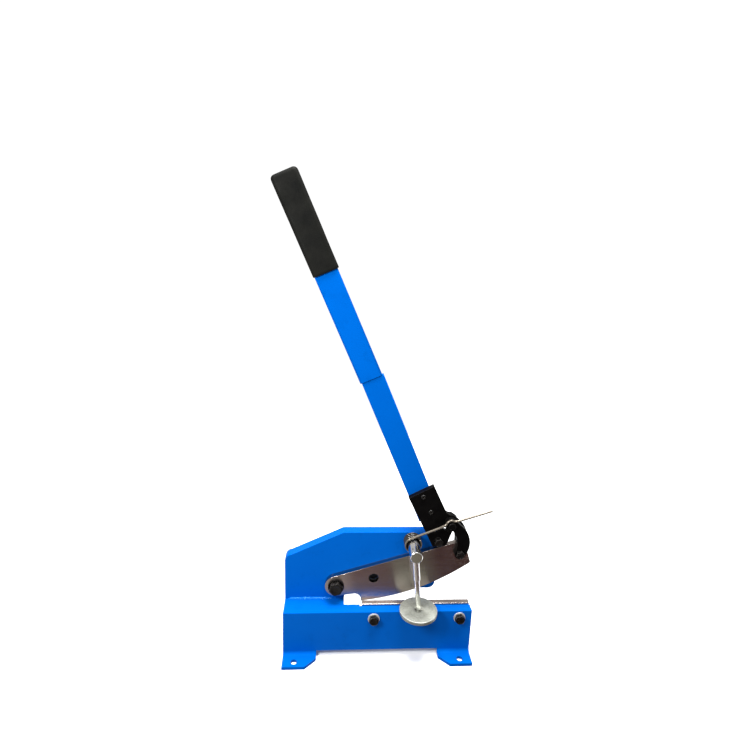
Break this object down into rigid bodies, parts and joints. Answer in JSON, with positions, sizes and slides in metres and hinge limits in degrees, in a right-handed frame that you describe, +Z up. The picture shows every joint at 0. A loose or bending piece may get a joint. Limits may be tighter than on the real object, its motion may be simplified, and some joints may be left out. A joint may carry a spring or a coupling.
{
  "type": "metal shear",
  "caption": "Bench lever shear for sheet metal: offset frame, pivoting curved upper blade on C-shaped links, long handle with grip and a screw-down hold-down pad on a swivelling arm.",
  "frame": {"origin": "centre of the rectangle of four bench holes, on the bench plane", "axes": "+Z up along the bench bolts, +X along the blade towards its free end, +Y to the rear; the operator stands at -Y"},
  "size_m": [0.2889, 0.1177, 0.6351],
  "materials": {
    "blue_paint": "smooth glossy blue powder coat",
    "ground_steel": "ground tool steel, lightly oiled",
    "black_oxide": "black oxide, semi-gloss",
    "zinc_hardware": "bright zinc plate",
    "spring_wire": "drawn spring wire, oiled",
    "bright_steel": "turned and plated, bright",
    "zinc_disc": "faced and zinc plated, slightly mottled",
    "grip_rubber": "matt moulded rubber"
  },
  "bodies": {
    "frame": {"front_sheet": "blue_paint", "lower_jaw_bar": "blue_paint", "offset_block": "blue_paint", "upper_plate": "blue_paint", "plate_weld": "blue_paint", "block_weld": "blue_paint", "rear_foot_left": "blue_paint", "rear_foot_right": "blue_paint", "fixed_blade": "ground_steel", "fixed_blade_washers": "zinc_hardware", "fixed_blade_bolts": "black_oxide", "blade_pivot_bush": "zinc_hardware", "blade_pivot_washer": "zinc_hardware", "blade_pivot_bolt": "black_oxide", "blade_pivot_nut": "black_oxide", "lever_pivot_bush": "zinc_hardware", "lever_pivot_washer": "zinc_hardware", "lever_pivot_bolt": "black_oxide", "lever_pivot_nut": "black_oxide", "spring_coil": "spring_wire"},
    "blade": {"moving_blade": "ground_steel"},
    "link": {"front_link": "black_oxide", "rear_link": "black_oxide", "link_upper_pin": "black_oxide", "link_upper_clip": "black_oxide", "link_lower_bolt": "black_oxide", "link_lower_nut": "black_oxide"},
    "handle": {"lever_lug": "black_oxide", "handle_bar": "blue_paint", "handle_tube": "blue_paint", "grip": "grip_rubber", "lug_bolts": "zinc_hardware", "lug_nuts": "zinc_hardware"},
    "latch": {"latch_spring_leg": "spring_wire"},
    "hold_down": {"hold_down_arm": "bright_steel", "hold_down_arm_washer": "zinc_hardware", "hold_down_arm_nut": "zinc_hardware", "hold_down_sleeve": "bright_steel"},
    "pad": {"hold_down_disc": "zinc_disc"},
    "screw": {"hold_down_rod": "bright_steel"}
  },
  "joints": [
    {"name": "lever_pivot", "type": "hinge", "parent": "frame", "child": "handle", "pos_m": [0.08, -0.009, 0.1633], "axis": [0, 1, 0], "range_deg": [0, 114]},
    {"name": "blade_pivot", "type": "hinge", "parent": "frame", "child": "blade", "pos_m": [-0.0585, -0.009, 0.0944], "axis": [0, 1, 0], "range_deg": [0, 18.6]},
    {"name": "link_pivot", "type": "hinge", "parent": "blade", "child": "link", "pos_m": [0.1096, -0.009, 0.1474], "axis": [0, 1, 0], "range_deg": [-17.5, 0]},
    {"name": "latch_lift", "type": "hinge", "parent": "frame", "child": "latch", "pos_m": [0.0444, -0.009, 0.163], "axis": [0, 1, 0], "range_deg": [-20, 0], "stiffness_Nm_per_rad": 0.15},
    {"name": "arm_swivel", "type": "hinge", "parent": "frame", "child": "hold_down", "pos_m": [0.0444, -0.009, 0.163], "axis": [0, 1, 0], "range_deg": [-15, 0]},
    {"name": "pad_travel", "type": "slide", "parent": "hold_down", "child": "pad", "axis": [-0.0993, 0, 0.9951], "range_m": [0, 0.015]},
    {"name": "rod_screw", "type": "hinge", "parent": "pad", "child": "screw", "pos_m": [0.0528, -0.0372, 0.0787], "axis": [-0.0993, 0, 0.9951], "range_deg": [0, 5400]}
  ],
  "couplings": [
    {"joint": "blade_pivot", "follows": "lever_pivot", "ratio": 0.1625},
    {"joint": "link_pivot", "follows": "lever_pivot", "ratio": -0.1525},
    {"joint": "rod_screw", "follows": "pad_travel", "rad_per_m": 6283.2}
  ]
}
